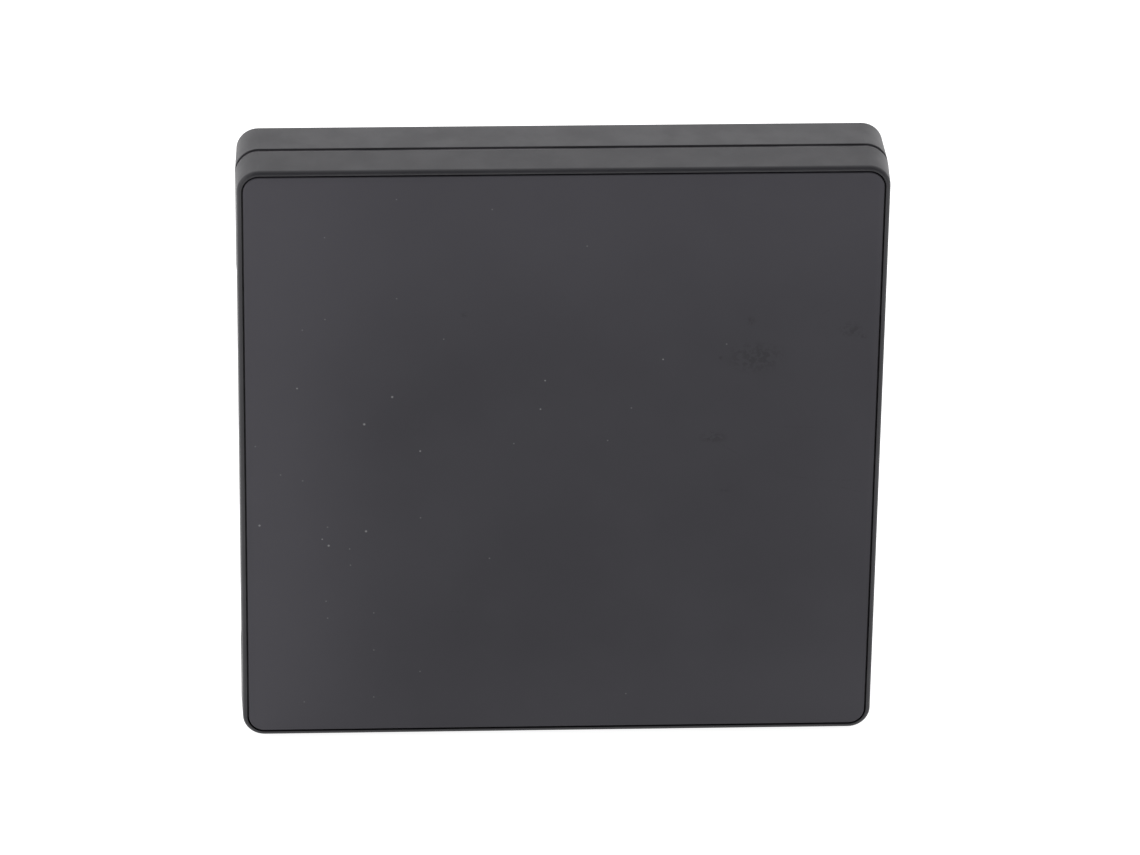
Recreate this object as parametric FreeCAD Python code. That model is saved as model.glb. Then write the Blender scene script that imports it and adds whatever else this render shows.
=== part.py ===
import FreeCAD, Part
import math
import os

# A square desktop mesh wifi node: a thin slab that stands on its lower edge, in separate pieces.
# Millimetres.  +X is the node's right seen from the front, -Y is the front, +Z is up.  The sockets are in
# the left side.  Every piece is drawn about the middle of the case and raised by LIFT as it is written, which
# puts the origin at the middle of the footprint, on the surface that the node stands on.

V = FreeCAD.Vector

# ---- the case: driving dimensions ---------------------------------------------------------------------
SIDE = 120.0            # width and height of the square case
DEPTH = 19.0            # front to back
CORNER_R = 4.4          # corner radius of the square, seen from the front
FRONT_Y = -DEPTH / 2
REAR_Y = DEPTH / 2
WALL = 1.6              # side walls
FRONT_WEB = 1.3         # wall behind the cover plate
REAR_WALL = 1.7
FRONT_EDGE_R = 0.78     # rounding of the front lip
REAR_EDGE_R = 0.8
DRAFT = 0.3             # how much each side tapers in, from the parting groove to the front or the back
FOOT_THICK = 0.8        # how far a foot stands below the case
FOOT_RECESS = 0.5
FOOT_HALF = (14.0, 6.0) # half sizes of a foot, in X and Y
FOOT_FIT = 0.15
FOOT_X = 38.0
LIFT = SIDE / 2 + FOOT_THICK

# the cover plate and the lip round it
LIP = 0.8
COVER_GAP = 0.3
COVER_INSET = DRAFT + LIP + COVER_GAP
COVER_THICK = 1.5
ADHESIVE_THICK = 0.2
POCKET_Y = FRONT_Y + COVER_THICK + ADHESIVE_THICK
INSIDE_FRONT_Y = POCKET_Y + FRONT_WEB
INSIDE_REAR_Y = REAR_Y - REAR_WALL

# the parting groove between the two shells, and the lapped tongue behind it
PARTING_Y = FRONT_Y + 8.6
GROOVE_GAP = 1.0
FRONT_END_Y = PARTING_Y - GROOVE_GAP / 2
REAR_START_Y = PARTING_Y + GROOVE_GAP / 2
GROOVE_R = 0.3          # rounded shoulder on the front shell's side of the groove
GROOVE_DEPTH = 0.35
TONGUE_INSET = 0.7      # the tongue is set in further than the groove's floor, which it steps down from
TONGUE_PAST_GROOVE = 1.2
SHELL_FIT = 0.05        # between the two shells where they meet
REBATE_INSET = TONGUE_INSET - SHELL_FIT
REBATE_DEPTH = 1.4

# case screws, driven from the back
SCREW_AT = 51.5
POST_R = 3.8
COUNTERBORE_R = 2.6
SCREW_SEAT_Y = 3.5
SEAT_THICK = 1.5
BOSS_R = 2.9
PILOT_R = 1.05
SCREW_HOLE_R = 1.45
SHANK_R = 1.0
CORNERS = [(sx * SCREW_AT, sz * SCREW_AT) for sx in (-1, 1) for sz in (-1, 1)]

# snap hooks: (side, place along the side)
HOOKS = [("top", -32), ("top", 32), ("bottom", -14), ("bottom", 14), ("right", -32), ("right", 32)]
HOOK_WIDE = 6.0
HOOK_THICK = 1.0
HOOK_NOSE = 0.5
HOOK_TIP_Y = 3.4
HOOK_FIT = 0.1

# the back: vents, keyholes and the label's recess
VENT_WIDE = 1.6
VENT_TALL = 10.0
VENT_PITCH = 4.0
VENT_COUNT = 19
VENT_AT = 49.0
KEYHOLE_X = 30.0
KEYHOLE_Z = 29.0
KEYHOLE_R = 4.0
KEYSLOT_R = 2.1
KEYSLOT_RISE = 7.0
KEY_POCKET_WALL = 1.0
KEY_POCKET_DEPTH = 2.7
LABEL_WIDE = 58.0
LABEL_TALL = 34.0
LABEL_Z = -8.0
LABEL_RECESS = 0.25
LABEL_THICK = 0.15
LABEL_GAP = 0.4
LABEL_R = 2.0
RIBS_X = (-37.0, 0.0, 37.0)

# the main board, and the ports along its left edge
BOARD_THICK = 1.2
BOARD_REAR_Y = -3.7
BOARD_FRONT_Y = BOARD_REAR_Y - BOARD_THICK
BOARD_LEFT = -57.2
BOARD_RIGHT = 46.0
BOARD_HALF_TALL = 46.0
BOARD_SCREWS = [(-46, 41), (40, 41.5), (-46, -43), (41, -43.2)]
BOARD_BOSS_R = 2.6

PANEL_OUT_X = -SIDE / 2 + 0.5
PANEL_Y = (-4.0, 7.3)
PANEL_Z = (-43.0, 37.0)
PANEL_FIT = 0.1
FLANGE_X = (-58.35, -57.35)
FLANGE_PAST = 1.5
PORT_Y = 1.65
JACK_X = -57.3          # front faces of the sockets
POWER_Z = -34.0
WAN_Z = -17.0
LAN_Z = 1.5
LAMP_Z = 14.5
RESET_Z = 20.0
PAIR_Z = 29.0
PAIR_HALF = (2.3, 4.0)  # half sizes of the pairing button's face, in Y and Z
PAIR_GAP = 0.3
BUTTON_PROUD = 0.2
SOCKET_WINDOW_Y = (-3.2, 6.5)
SOCKET_WINDOW_HALF = 6.9
INLET_WINDOW_R = 4.25
LAMP_WINDOW_R = 1.15
RESET_HOLE_R = 0.9

# the network sockets, the power inlet and the switches
JACK_LONG = 16.0
JACK_HALF = 7.9
JACK_TOP_Y = 7.5
SHIELD_SHEET = 0.3
CAVITY_LONG = 13.0
CAVITY_Y = (-1.9, 5.0)
CAVITY_HALF = 5.95
CONTACT_COUNT = 8
CONTACT_PITCH = 1.02
CONTACT_HALF = 0.21
DC_LONG = 14.0
DC_HALF = 4.5
DC_COLLAR_R = 4.0
DC_COLLAR_LONG = 1.6
DC_BORE_R = 3.2
DC_BORE_LONG = 10.0
DC_PIN_R = 1.05
LIGHT_PIPE_R = 1.1
SWITCH_HALF = 3.0
SWITCH_DEEP = 3.5
SWITCH_FACE = {"pair": -54.6, "reset": -55.0}
SWITCH_Z = {"pair": PAIR_Z, "reset": RESET_Z}
PLUNGER_R = {"pair": 1.4, "reset": 1.1}
PLUNGER_OUT_X = {"pair": -55.9, "reset": -56.4}

# chips on the rear face of the board: (x, z, width, height, thickness, chamfer)
CHIPS = {
    "processor_chip": [(-11, 1, 14, 14, 1.25, 0.15)],
    "memory_chips": [(6, 3, 9, 13.2, 1.1, 0.1), (-11, -13.5, 8, 6, 0.8, 0.1)],
    "radio_chip_5g": [(30, 10, 10, 10, 0.9, 0.1)],
    "radio_chip_2g": [(30, -19, 8, 8, 0.9, 0.1)],
    "ethernet_chip": [(-35.2, -8, 8, 8, 0.9, 0.1)],
    "amplifier_modules": [(x, z, 3, 3, 0.8, 0.1)
                          for x, z in [(23, 1), (30, 1), (37, 1), (26, -30), (34, -30)]],
    "crystals": [(x, z, 3.2, 2.5, 0.8, 0.1)
                 for x, z in [(-20.4, -11), (-35.2, -15.0), (38, 16), (38, -14)]],
    "lan_transformers": [(-35.2, z, 10, 15, 4.8, 0.4) for z in (-25.5, 9.5)],
}
PADDED_CHIPS = {"processor_chip": 13, "radio_chip_5g": 9, "radio_chip_2g": 7}   # width of each chip's pad
COILS = [(-35.2, -38.5), (-37.5, 26.5), (-37.5, 34.0)]
CAPACITORS = [(-45.5, 16.5), (-45.5, 24.4)]
# rows of chip resistors: first one's (x, z), how many across, how many up
RESISTOR_ROWS = [(-39, -1.5, 5, 1), (-21, 8.6, 1, 4), (1.0, -8.0, 6, 2), (-3.0, -16.5, 8, 1),
                 (20.4, 4.2, 1, 6), (24, -12.5, 6, 1), (-26, 30, 5, 2), (2.0, 29.5, 6, 2), (-20, -43, 8, 1),
                 (-2, -43, 5, 1), (-52, -26.9, 3, 1)]
RESISTOR_PITCH = 1.9

# cans, pads and heat sink, all stacked on the rear face of the board
CANS = {"processor": (-24.0, 14.0, -20.0, 16.0), "radio_5g": (18.0, 42.0, -6.0, 20.0),
        "radio_2g": (18.0, 42.0, -36.0, -10.0)}
CAN_TALL = 2.4
CAN_SHEET = 0.25
SINK_PAD = 1.0
SINK_BASE_Y = BOARD_REAR_Y + CAN_TALL + SINK_PAD
SINK_BASE = 1.6
SINK_FIN_TALL = 4.0
SINK_FIN_COUNT = 19
SINK_FIN_PITCH = 3.5
SINK_FIN_TOP = 22.0
SINK_BOX = (-29.0, 45.5, -40.0, 25.0)
SINK_SCREWS = [(-26.3, 22.3), (42.8, 22.9), (-26.3, -37.3), (43.6, -38.2)]

# antennas: name: (side of the case, middle along that side, half length)
ANTENNAS = {"top_left": ("top", -26.0, 16.0), "top_right": ("top", 26.0, 16.0),
            "right": ("right", 14.0, 16.0), "bottom": ("bottom", 14.0, 16.0)}
ANTENNA_AT = 54.5
ANTENNA_THICK = 0.8
ANTENNA_Y = (-5.8, 4.2)
COAX_R = 0.565
COAX_Y = BOARD_REAR_Y + 1.3
PLUG_R = 1.25
PLUG_TALL = 1.9
# each coax runs from its antenna's inner face to its plug: (x, z) points on the plane y = COAX_Y
COAX = {
    "top_left": [(-26.0, 54.1), (-26.0, 46.0), (-18.5, 39.5), (-9.5, 38.0), (-9.5, 31.3)],
    "top_right": [(26.0, 54.1), (26.0, 46.0), (22.5, 40.0), (22.5, 31.3)],
    "right": [(54.1, 14.0), (50.6, 14.0), (49.0, 19.0), (49.0, 25.0), (44.5, 30.0), (37.3, 30.0)],
    "bottom": [(14.0, -54.1), (14.0, -48.5), (18.8, -43.4), (24.7, -43.4)],
}
COAX_END = {"top_left": (-9.5, 30.0), "top_right": (22.5, 30.0), "right": (36.0, 30.0),
            "bottom": (26.0, -43.4)}


# ---- small shapes -------------------------------------------------------------------------------------
def block(x0, x1, y0, y1, z0, z1):
    return Part.makeBox(x1 - x0, y1 - y0, z1 - z0, V(x0, y0, z0))


def block_at(x, z, wide, tall, y0, y1):
    return block(x - wide / 2, x + wide / 2, y0, y1, z - tall / 2, z + tall / 2)


def pin_y(x, z, radius, y0, y1):
    """A round bar along Y."""
    return Part.makeCylinder(radius, y1 - y0, V(x, y0, z), V(0, 1, 0))


def pin_x(y, z, radius, x0, x1):
    """A round bar along X."""
    return Part.makeCylinder(radius, x1 - x0, V(x0, y, z), V(1, 0, 0))


def edges_along(shape, axis):
    """The straight edges of a shape that run along an axis."""
    found = []
    for edge in shape.Edges:
        if isinstance(edge.Curve, Part.Line) and abs(edge.tangentAt(edge.FirstParameter).dot(axis)) > 0.999:
            found.append(edge)
    return found


def edges_on_plane(shape, axis, at):
    """The edges of a shape that lie on the plane where the coordinate along axis is at."""
    return [e for e in shape.Edges if all(abs(v.Point.dot(axis) - at) < 1e-5 for v in e.Vertexes)]


def rounded_slab(wide, tall, radius, y0, y1, x=0.0, z=0.0):
    """A rounded rectangle in the XZ plane, as thick as y0 to y1."""
    slab = block_at(x, z, wide, tall, y0, y1)
    return slab.makeFillet(radius, edges_along(slab, V(0, 1, 0)))


def rounded_plate_x(y0, y1, z0, z1, radius, x0, x1):
    """A rounded rectangle in the YZ plane, as thick as x0 to x1."""
    plate = block(x0, x1, y0, y1, z0, z1)
    return plate.makeFillet(radius, edges_along(plate, V(1, 0, 0)))


def case_slab(inset, y0, y1):
    """The case's outline, moved in by inset."""
    return rounded_slab(SIDE - 2 * inset, SIDE - 2 * inset, CORNER_R - inset, y0, y1)


def drafted_slab(inset0, y0, inset1, y1):
    """The case's outline at y0 joined to the one at y1 by flat, slightly tapered sides."""
    ends = []
    for inset, y in ((inset0, y0), (inset1, y1)):
        slab = case_slab(inset, y, y + 1)
        face = [f for f in slab.Faces if all(abs(v.Y - y) < 1e-6 for v in f.Vertexes)][0]
        ends.append(face.OuterWire)
    return Part.makeLoft(ends, True, True)


def foot_recesses():
    """The two shallow pockets for the feet, cut up into the lower edge."""
    half_x, half_y = FOOT_HALF[0] + FOOT_FIT, FOOT_HALF[1] + FOOT_FIT
    return group([block(x - half_x, x + half_x, -half_y, half_y, -SIDE / 2 - 1, -SIDE / 2 + FOOT_RECESS)
                  for x in (-FOOT_X, FOOT_X)])


def on_side(side, along, out, thick, wide, y0, y1):
    """A block beside a wall: its outer face is at out from the middle, and it is centred at along."""
    if side in ("top", "bottom"):
        z0, z1 = (out - thick, out) if side == "top" else (-out, -out + thick)
        return block(along - wide / 2, along + wide / 2, y0, y1, z0, z1)
    x0, x1 = (out - thick, out) if side == "right" else (-out, -out + thick)
    return block(x0, x1, y0, y1, along - wide / 2, along + wide / 2)


def prism_z(points, z0, z1):
    """A polygon given as (x, y) points, extruded along Z."""
    ring = [V(x, y, z0) for x, y in points]
    face = Part.Face(Part.makePolygon(ring + [ring[0]]))
    return face.extrude(V(0, 0, z1 - z0))


def group(shapes):
    return Part.makeCompound(shapes)


# ---- the case -----------------------------------------------------------------------------------------
def front_shell():
    outer = drafted_slab(DRAFT, FRONT_Y, 0, FRONT_END_Y)
    outer = outer.makeFillet(FRONT_EDGE_R, edges_on_plane(outer, V(0, 1, 0), FRONT_Y))
    outer = outer.makeFillet(GROOVE_R, edges_on_plane(outer, V(0, 1, 0), FRONT_END_Y))
    shell = outer.cut(case_slab(DRAFT + LIP, FRONT_Y, POCKET_Y))
    shell = shell.cut(case_slab(WALL, INSIDE_FRONT_Y, FRONT_END_Y))
    tongue_end = REAR_START_Y + TONGUE_PAST_GROOVE
    tongue = case_slab(TONGUE_INSET, FRONT_END_Y - 1.0, tongue_end)
    tongue = tongue.fuse(case_slab(GROOVE_DEPTH, FRONT_END_Y - 1.0, REAR_START_Y - SHELL_FIT))
    tongue = tongue.cut(case_slab(WALL, FRONT_END_Y - 1.0, tongue_end))
    added = [tongue]
    for x, z in CORNERS:
        added.append(pin_y(x, z, BOSS_R, INSIDE_FRONT_Y, SCREW_SEAT_Y - SEAT_THICK))
        outward = math.copysign(1, x)
        wall_x = outward * (SIDE / 2 - WALL)
        added.append(block(min(x, wall_x), max(x, wall_x), INSIDE_FRONT_Y, FRONT_END_Y - 2, z - 0.5, z + 0.5))
    for x, z in BOARD_SCREWS:
        added.append(pin_y(x, z, BOARD_BOSS_R, INSIDE_FRONT_Y, BOARD_FRONT_Y))
    inner = SIDE / 2 - WALL
    for side, along in HOOKS:
        added.append(on_side(side, along, inner - HOOK_FIT, HOOK_THICK, HOOK_WIDE, INSIDE_FRONT_Y,
                             HOOK_TIP_Y))
        added.append(on_side(side, along, inner, 0.3, HOOK_WIDE, INSIDE_FRONT_Y, FRONT_END_Y))
        added.append(hook_nose(side, along))
    for side, along, half in ANTENNAS.values():
        for end in (-1, 1):
            place = along + end * (half - 1.5)
            cheek = on_side(side, place, ANTENNA_AT + 2.0, 4.0, 1.6, INSIDE_FRONT_Y, -0.6)
            slot = on_side(side, place, ANTENNA_AT + ANTENNA_THICK / 2 + 0.05, ANTENNA_THICK + 0.1, 2,
                           ANTENNA_Y[0], 0)
            added.append(cheek.cut(slot))
    shell = shell.multiFuse(added).removeSplitter()
    for x, z in CORNERS:
        shell = shell.cut(pin_y(x, z, PILOT_R, SCREW_SEAT_Y - SEAT_THICK - 7.0, SCREW_SEAT_Y - SEAT_THICK))
    for x, z in BOARD_SCREWS:
        shell = shell.cut(pin_y(x, z, 0.85, BOARD_FRONT_Y - 2.3, BOARD_FRONT_Y))
    return shell.cut(port_window()).cut(foot_recesses())


def hook_nose(side, along):
    """The wedge at the tip of a snap hook, which springs into a pocket in the rear shell's wall."""
    out = SIDE / 2 - WALL - HOOK_FIT
    nose_x = out + HOOK_NOSE
    section = [(out, HOOK_TIP_Y - 1.6), (nose_x, HOOK_TIP_Y - 1.1), (nose_x, HOOK_TIP_Y - 0.8),
               (out, HOOK_TIP_Y)]
    nose = prism_z(section, -HOOK_WIDE / 2, HOOK_WIDE / 2)
    nose.rotate(V(0, 0, 0), V(0, 1, 0), {"right": 0, "top": -90, "bottom": 90}[side])
    nose.translate(V(0, 0, along) if side == "right" else V(along, 0, 0))
    return nose


def port_window():
    """The opening for the port panel, cut through the left wall of both shells."""
    return block(-SIDE / 2 - 1, -SIDE / 2 + WALL + 0.4, PANEL_Y[0] - PANEL_FIT, PANEL_Y[1] + PANEL_FIT,
                 PANEL_Z[0] - PANEL_FIT, PANEL_Z[1] + PANEL_FIT)


def keyhole_cut(x):
    """A round entry with a narrow slot above it, through the rear wall."""
    entry = pin_y(x, KEYHOLE_Z, KEYHOLE_R, INSIDE_REAR_Y - 0.01, REAR_Y + 1)
    top = pin_y(x, KEYHOLE_Z + KEYSLOT_RISE, KEYSLOT_R, INSIDE_REAR_Y - 0.01, REAR_Y + 1)
    slot = block(x - KEYSLOT_R, x + KEYSLOT_R, INSIDE_REAR_Y - 0.01, REAR_Y + 1, KEYHOLE_Z,
                 KEYHOLE_Z + KEYSLOT_RISE)
    return entry.multiFuse([top, slot]).removeSplitter()


def keyhole_pocket(x, grow, y0):
    """The space behind a keyhole that a screw's head moves in, grown by its wall for the outside."""
    wide = 2 * KEYHOLE_R + 1.2 + 2 * grow
    z0 = KEYHOLE_Z - KEYHOLE_R - 0.6 - grow
    z1 = KEYHOLE_Z + KEYSLOT_RISE + KEYHOLE_R + 0.6 + grow
    return rounded_slab(wide, z1 - z0, 2.0 + grow, y0, INSIDE_REAR_Y, x, (z0 + z1) / 2)


def rear_shell():
    outer = drafted_slab(0, REAR_START_Y, DRAFT, REAR_Y)
    outer = outer.makeFillet(REAR_EDGE_R, edges_on_plane(outer, V(0, 1, 0), REAR_Y))
    outer = outer.makeFillet(0.15, edges_on_plane(outer, V(0, 1, 0), REAR_START_Y))
    shell = outer.cut(case_slab(WALL, REAR_START_Y, INSIDE_REAR_Y))
    shell = shell.cut(case_slab(REBATE_INSET, REAR_START_Y, REAR_START_Y + REBATE_DEPTH))
    pocket_y = INSIDE_REAR_Y - KEY_POCKET_DEPTH
    added = [pin_y(x, z, POST_R, SCREW_SEAT_Y - SEAT_THICK, INSIDE_REAR_Y) for x, z in CORNERS]
    for x in (-KEYHOLE_X, KEYHOLE_X):
        added.append(keyhole_pocket(x, KEY_POCKET_WALL, pocket_y - KEY_POCKET_WALL))
    for x in RIBS_X:
        added.append(block(x - 0.6, x + 0.6, INSIDE_REAR_Y - 1.2, INSIDE_REAR_Y, -38, 22))
    shell = shell.multiFuse(added).removeSplitter()
    for x, z in CORNERS:
        shell = shell.cut(pin_y(x, z, COUNTERBORE_R, SCREW_SEAT_Y, REAR_Y + 1))
        shell = shell.cut(pin_y(x, z, SCREW_HOLE_R, SCREW_SEAT_Y - SEAT_THICK, SCREW_SEAT_Y))
    for x in (-KEYHOLE_X, KEYHOLE_X):
        shell = shell.cut(keyhole_pocket(x, 0, pocket_y)).cut(keyhole_cut(x))
    for side, along in HOOKS:
        shell = shell.cut(on_side(side, along, SIDE / 2 - WALL + HOOK_NOSE + 0.2, HOOK_NOSE + 0.3,
                                  HOOK_WIDE + 0.6, HOOK_TIP_Y - 1.9, HOOK_TIP_Y + 0.2))
    shell = shell.cut(group(vent_cuts()))
    shell = shell.cut(rounded_slab(LABEL_WIDE, LABEL_TALL, LABEL_R, REAR_Y - LABEL_RECESS, REAR_Y + 1, 0,
                                   LABEL_Z))
    return shell.cut(port_window()).cut(foot_recesses())


def vent_cuts():
    """Two rows of upright slots with round ends, near the top and the bottom of the back."""
    slots = []
    for row in (-VENT_AT, VENT_AT):
        for i in range(VENT_COUNT):
            x = (i - (VENT_COUNT - 1) / 2) * VENT_PITCH
            slots.append(rounded_slab(VENT_WIDE, VENT_TALL, VENT_WIDE / 2 - 0.01, INSIDE_REAR_Y - 0.5,
                                      REAR_Y + 1, x, row))
    return slots


def cover_plate():
    plate = case_slab(COVER_INSET, FRONT_Y, FRONT_Y + COVER_THICK)
    return plate.makeFillet(0.2, edges_on_plane(plate, V(0, 1, 0), FRONT_Y))


def cover_adhesive():
    """A frame of double-sided tape and a square in the middle."""
    y0 = FRONT_Y + COVER_THICK
    frame = case_slab(COVER_INSET + 1.0, y0, POCKET_Y).cut(rounded_slab(96, 96, 3.0, y0, POCKET_Y))
    return group([frame, rounded_slab(60, 60, 3.0, y0, POCKET_Y)])


def port_panel():
    plate = rounded_plate_x(*PANEL_Y, *PANEL_Z, 1.2, PANEL_OUT_X, FLANGE_X[1])
    plate = plate.makeFillet(0.2, edges_on_plane(plate, V(1, 0, 0), PANEL_OUT_X))
    flange = block(*FLANGE_X, PANEL_Y[0] - 1.0, PANEL_Y[1] + 0.3, PANEL_Z[0] - FLANGE_PAST,
                   PANEL_Z[1] + FLANGE_PAST)
    panel = plate.fuse(flange).removeSplitter()
    x0, x1 = PANEL_OUT_X - 1, FLANGE_X[1] + 1
    for z in (WAN_Z, LAN_Z):
        half = SOCKET_WINDOW_HALF
        panel = panel.cut(rounded_plate_x(*SOCKET_WINDOW_Y, z - half, z + half, 0.5, x0, x1))
    for z, radius in ((POWER_Z, INLET_WINDOW_R), (LAMP_Z, LAMP_WINDOW_R), (RESET_Z, RESET_HOLE_R)):
        panel = panel.cut(pin_x(PORT_Y, z, radius, x0, x1))
    return panel.cut(pair_outline(PAIR_GAP, x0, x1))


def pair_outline(grow, x0, x1):
    """The pairing button's oval, grown all round, from x0 to x1."""
    half_y, half_z = PAIR_HALF
    return rounded_plate_x(PORT_Y - half_y - grow, PORT_Y + half_y + grow, PAIR_Z - half_z - grow,
                           PAIR_Z + half_z + grow, half_y - 0.1 + grow, x0, x1)


def base_feet():
    """Two self-adhesive pads, set in recesses in the lower edge."""
    half_x, half_y = FOOT_HALF
    feet = []
    for x in (-FOOT_X, FOOT_X):
        pad = block(x - half_x, x + half_x, -half_y, half_y, -SIDE / 2 - FOOT_THICK, -SIDE / 2 + FOOT_RECESS)
        pad = pad.makeFillet(3.0, edges_along(pad, V(0, 0, 1)))
        feet.append(pad.makeFillet(0.25, edges_on_plane(pad, V(0, 0, 1), -SIDE / 2 - FOOT_THICK)))
    return group(feet)


def rating_label():
    y0 = REAR_Y - LABEL_RECESS
    return rounded_slab(LABEL_WIDE - 2 * LABEL_GAP, LABEL_TALL - 2 * LABEL_GAP, LABEL_R - LABEL_GAP, y0,
                        y0 + LABEL_THICK, 0, LABEL_Z)


def cross_head_screw(x, z, seat_y, head_r, head_tall, shank_r, shank_long):
    """A pan-head screw driven towards -Y, its head's underside at seat_y."""
    head = pin_y(x, z, head_r, seat_y, seat_y + head_tall)
    head = head.makeFillet(head_tall * 0.45, edges_on_plane(head, V(0, 1, 0), seat_y + head_tall))
    shank = pin_y(x, z, shank_r, seat_y - shank_long, seat_y)
    screw = head.fuse(shank).removeSplitter()
    arm, slot = head_r * 1.15, head_r * 0.26
    y0 = seat_y + head_tall * 0.35
    top = seat_y + head_tall
    return screw.cut(block_at(x, z, arm, slot, y0, top).fuse(block_at(x, z, slot, arm, y0, top)))


def case_screws():
    return group([cross_head_screw(x, z, SCREW_SEAT_Y, 2.3, 1.8, SHANK_R, 7.5) for x, z in CORNERS])


# ---- the board and what is soldered to it -------------------------------------------------------------
def main_board():
    board = rounded_slab(BOARD_RIGHT - BOARD_LEFT, 2 * BOARD_HALF_TALL, 1.0, BOARD_FRONT_Y, BOARD_REAR_Y,
                         (BOARD_RIGHT + BOARD_LEFT) / 2, 0)
    for x, z in CORNERS[:2]:
        board = board.cut(block_at(x, z, 12.0, 13.0, BOARD_FRONT_Y, BOARD_REAR_Y))
    for x, z in BOARD_SCREWS:
        board = board.cut(pin_y(x, z, 1.2, BOARD_FRONT_Y, BOARD_REAR_Y))
    for x, z in SINK_SCREWS:
        board = board.cut(pin_y(x, z, 1.1, BOARD_FRONT_Y, BOARD_REAR_Y))
    return board


def board_screws():
    return group([cross_head_screw(x, z, BOARD_REAR_Y, 2.0, 1.3, 0.8, 3.3) for x, z in BOARD_SCREWS])


def on_board(x, z, wide, tall, high, chamfer=0.0):
    """A part standing on the rear face of the board."""
    part = block_at(x, z, wide, tall, BOARD_REAR_Y, BOARD_REAR_Y + high)
    if chamfer:
        part = part.makeChamfer(chamfer, edges_on_plane(part, V(0, 1, 0), BOARD_REAR_Y + high))
    return part


def jack_shield(z):
    """The folded metal cover of a network socket: open at the front and against the board."""
    x1, half = JACK_X + JACK_LONG, JACK_HALF
    cover = block(JACK_X, x1, BOARD_REAR_Y, JACK_TOP_Y, z - half, z + half)
    cover = cover.makeFillet(0.35, [e for e in edges_along(cover, V(1, 0, 0)) if e.Vertexes[0].Point.y > 0])
    inner = block(JACK_X - 1, x1 - SHIELD_SHEET, BOARD_REAR_Y - 1, JACK_TOP_Y - SHIELD_SHEET,
                  z - half + SHIELD_SHEET, z + half - SHIELD_SHEET)
    return cover.cut(inner)


def jack_body(z):
    """The moulded insert: a plug cavity, a latch channel on the board side and a comb for the contacts."""
    half = JACK_HALF - SHIELD_SHEET
    body = block(JACK_X + 0.15, JACK_X + JACK_LONG - SHIELD_SHEET, BOARD_REAR_Y, JACK_TOP_Y - SHIELD_SHEET,
                 z - half, z + half)
    x0, x1 = JACK_X - 1, JACK_X + CAVITY_LONG
    cuts = [block(x0, x1, *CAVITY_Y, z - CAVITY_HALF, z + CAVITY_HALF),
            block(x0, x1, -2.6, CAVITY_Y[0], z - 3.1, z + 3.1),
            block(x0, JACK_X + 6.0, -3.2, -2.6, z - 1.8, z + 1.8)]
    slot = CONTACT_HALF + 0.1
    for place in contact_places(z):
        cuts.append(block(JACK_X + 0.9, x1 + 0.8, CAVITY_Y[1] - 0.1, CAVITY_Y[1] + 0.6, place - slot,
                          place + slot))
    return body.cut(group(cuts))


def contact_places(z):
    """The height of each contact wire in the socket at z."""
    return [z + (i - (CONTACT_COUNT - 1) / 2) * CONTACT_PITCH for i in range(CONTACT_COUNT)]


def jack_contacts(z):
    """Eight sprung wires, each folded back near the mouth to a tip that slopes into the cavity."""
    x0, x1 = JACK_X + 1.2, JACK_X + CAVITY_LONG + 0.8
    strip = [(x1, 5.3), (x0 + 0.5, 5.3), (x0 + 0.15, 5.1), (x0 + 9.0, 3.0), (x0 + 9.0, 3.35), (x0 + 1.7, 5.0),
             (x1, 5.0)]
    return group([prism_z(strip, place - CONTACT_HALF, place + CONTACT_HALF) for place in contact_places(z)])


def dc_jack_body():
    """The moulded power inlet, with a collar that reaches into the port panel."""
    x1 = JACK_X + DC_LONG
    body = block(JACK_X, x1, BOARD_REAR_Y, 7.0, POWER_Z - DC_HALF, POWER_Z + DC_HALF)
    body = body.fuse(pin_x(PORT_Y, POWER_Z, DC_COLLAR_R, JACK_X - DC_COLLAR_LONG, JACK_X)).removeSplitter()
    bore = pin_x(PORT_Y, POWER_Z, DC_BORE_R, JACK_X - 2, JACK_X + DC_BORE_LONG)
    bore = bore.fuse(pin_x(PORT_Y, POWER_Z, DC_PIN_R, JACK_X, x1 - 1.5))
    channel = block(JACK_X + 0.8, JACK_X + DC_BORE_LONG, -2.5, -1.0, POWER_Z - 0.9, POWER_Z + 0.9)
    return body.cut(bore).cut(channel)


def dc_jack_pin():
    pin = pin_x(PORT_Y, POWER_Z, DC_PIN_R, JACK_X - 0.4, JACK_X + DC_LONG - 1.5)
    return pin.makeFillet(0.5, edges_on_plane(pin, V(1, 0, 0), JACK_X - 0.4))


def dc_jack_spring():
    """The leaf that presses on the plug's sleeve, bowed up out of its channel."""
    x0, x1 = JACK_X + 1.4, JACK_X + DC_BORE_LONG
    leaf = [(x1, -2.5), (x1, -2.2), (x0 + 5.0, -1.45), (x0 + 3.0, -1.25), (x0 + 0.1, -2.0), (x0, -2.25),
            (x0 + 3.0, -1.55), (x0 + 5.0, -1.75), (x1 - 0.8, -2.5)]
    return prism_z(leaf, POWER_Z - 0.7, POWER_Z + 0.7)


def light_pipe():
    """A clear rod in the panel that turns down over the lamp on the board."""
    rod = pin_x(PORT_Y, LAMP_Z, LIGHT_PIPE_R, PANEL_OUT_X, -55.0)
    collar = pin_x(PORT_Y, LAMP_Z, 1.6, FLANGE_X[1] + 0.05, FLANGE_X[1] + 0.75)
    section = [(-56.4, -2.7), (-54.4, -2.7), (-54.4, 1.3), (-55.9, 2.75), (-56.4, 2.75)]
    elbow = prism_z(section, LAMP_Z - LIGHT_PIPE_R, LAMP_Z + LIGHT_PIPE_R)
    rod = rod.cut(block(-55.9, -54.9, -1, 5, LAMP_Z - 2, LAMP_Z + 2))
    return rod.multiFuse([collar, elbow]).removeSplitter()


def status_led():
    return on_board(-55.4, LAMP_Z, 1.6, 0.8, 0.7)


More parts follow.
